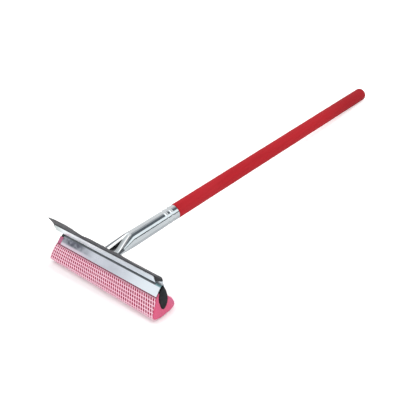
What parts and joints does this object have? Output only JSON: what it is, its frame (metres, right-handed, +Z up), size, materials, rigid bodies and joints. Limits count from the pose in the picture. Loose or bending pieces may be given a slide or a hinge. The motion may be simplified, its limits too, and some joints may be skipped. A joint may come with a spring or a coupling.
{
  "type": "car window squeegee",
  "caption": "Hand squeegee for car windows: a plated sheet head with a rubber blade above a netted sponge, on a straight red wooden handle.",
  "frame": {"origin": "middle of the flat on which the netted sponge rests, on the ground, under the handle's axis", "axes": "+X along the head, +Y along the handle towards its free end, +Z up with the tool lying at rest on its sponge and its handle's end"},
  "size_m": [0.216, 0.5167, 0.0558],
  "materials": {
    "plated_steel": "zinc plated sheet, semi-bright",
    "bright_plating": "bright plated sheet",
    "blade_rubber": "matt black rubber",
    "core_plastic": "matt black",
    "pink_foam": "open-cell pink foam",
    "net_thread": "pale pink knitted thread",
    "red_paint": "red gloss paint on wood"
  },
  "bodies": {
    "root": {"blade_rail": "plated_steel", "front_jaw_plate": "plated_steel", "back_jaw_plate": "plated_steel", "rubber_blade": "blade_rubber", "core_strip": "core_plastic", "wiping_sponge": "pink_foam", "sponge_net": "net_thread", "handle_ferrule": "bright_plating", "rivet_left": "bright_plating", "rivet_right": "bright_plating", "wooden_handle": "red_paint"}
  },
  "joints": []
}
